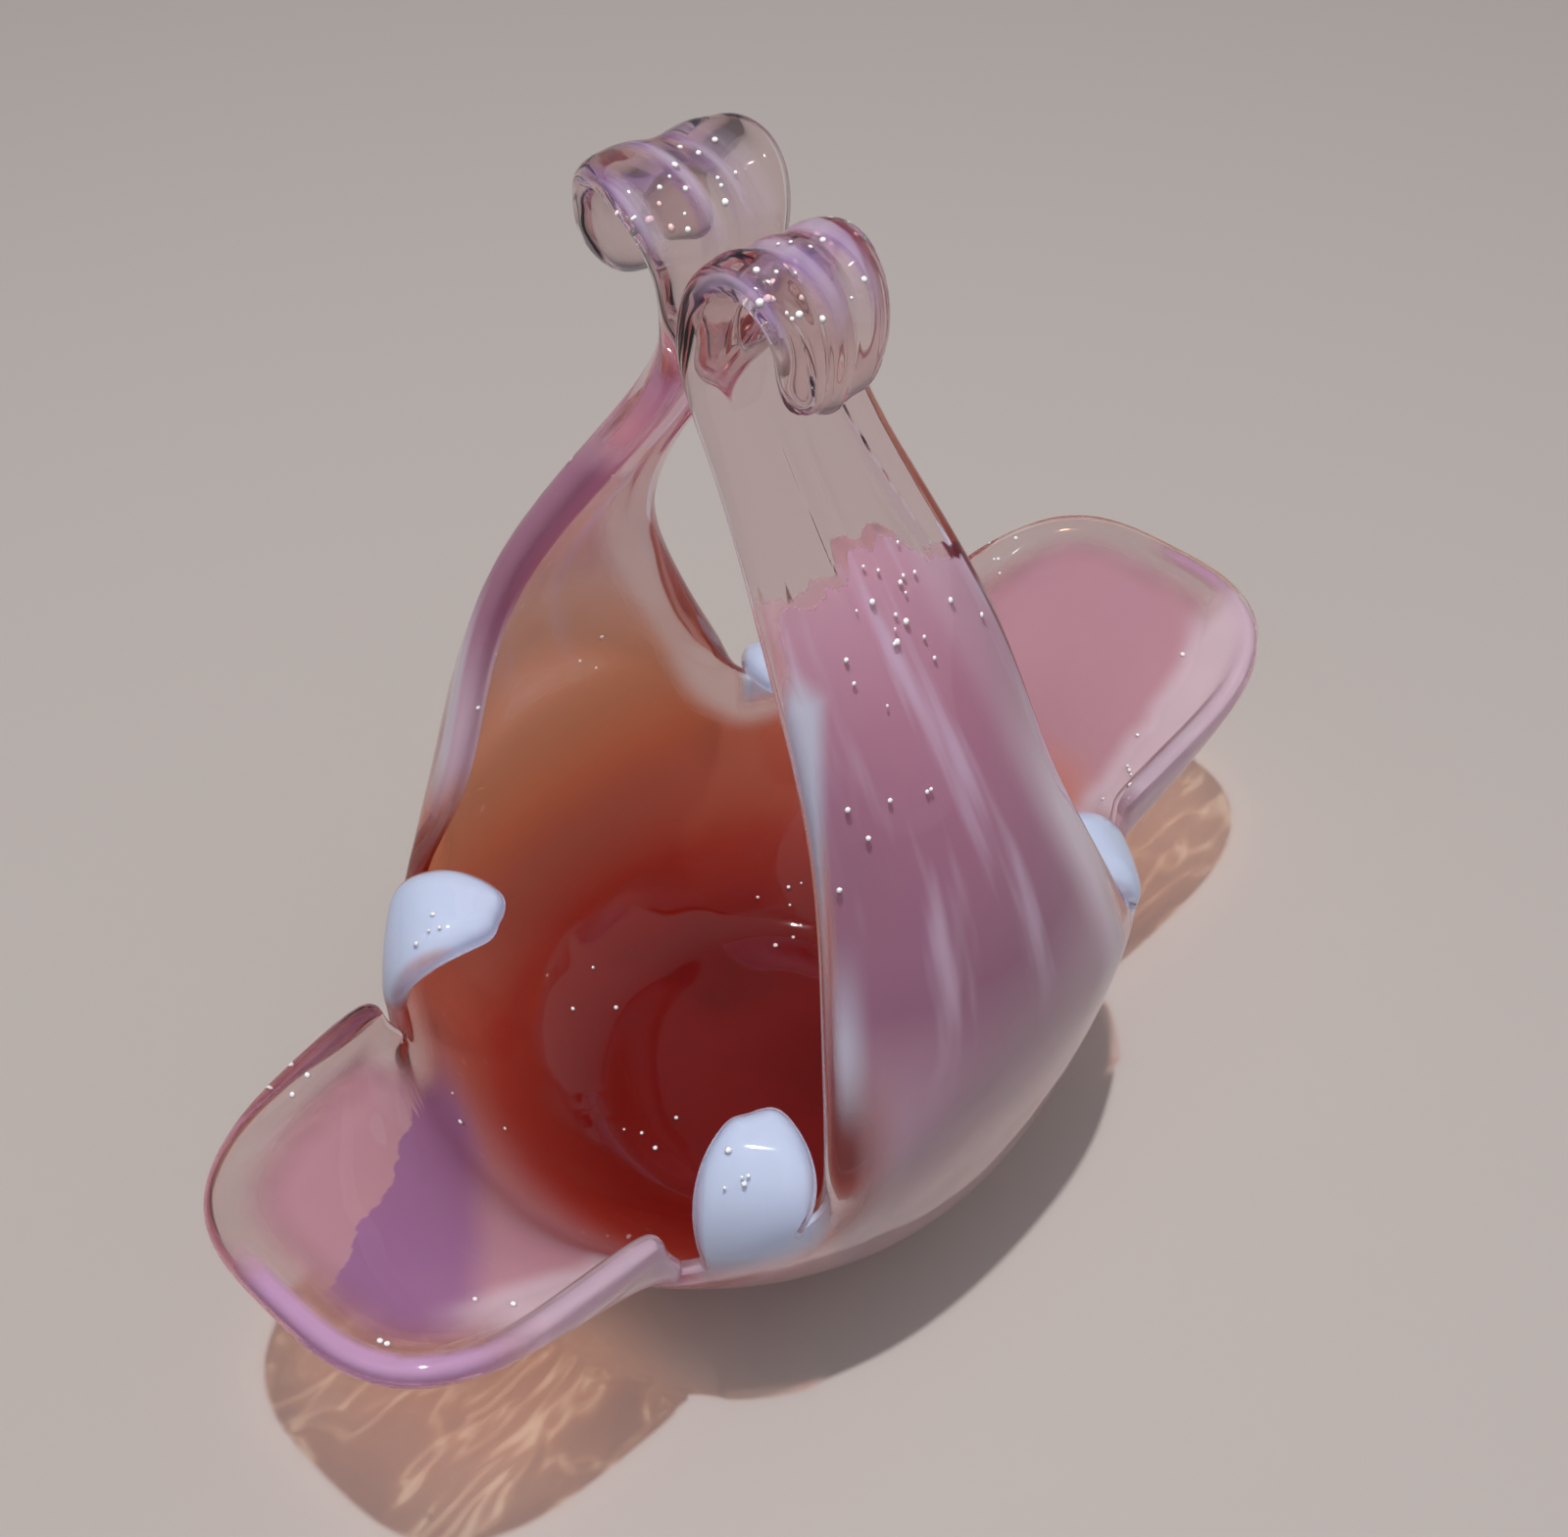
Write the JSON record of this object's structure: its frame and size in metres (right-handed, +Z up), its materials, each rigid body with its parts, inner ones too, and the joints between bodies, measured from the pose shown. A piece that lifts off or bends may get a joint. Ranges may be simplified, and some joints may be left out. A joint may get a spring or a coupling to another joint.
{
  "type": "basket dish",
  "caption": "Hand-blown basket dish of pink cased glass: a round footed bowl whose sheared rim is drawn up into a joined handle, flared out as side lobes and folded in as opal tongues.",
  "frame": {"origin": "middle of the ground foot, on the table", "axes": "+Z up; X runs through the two flared lobes, +X toward the larger one; Y runs through the two arms of the handle"},
  "size_m": [0.2848, 0.1466, 0.2416],
  "materials": {
    "dish": "fire-polished"
  },
  "bodies": {
    "root": {"dish": "dish"}
  },
  "joints": []
}
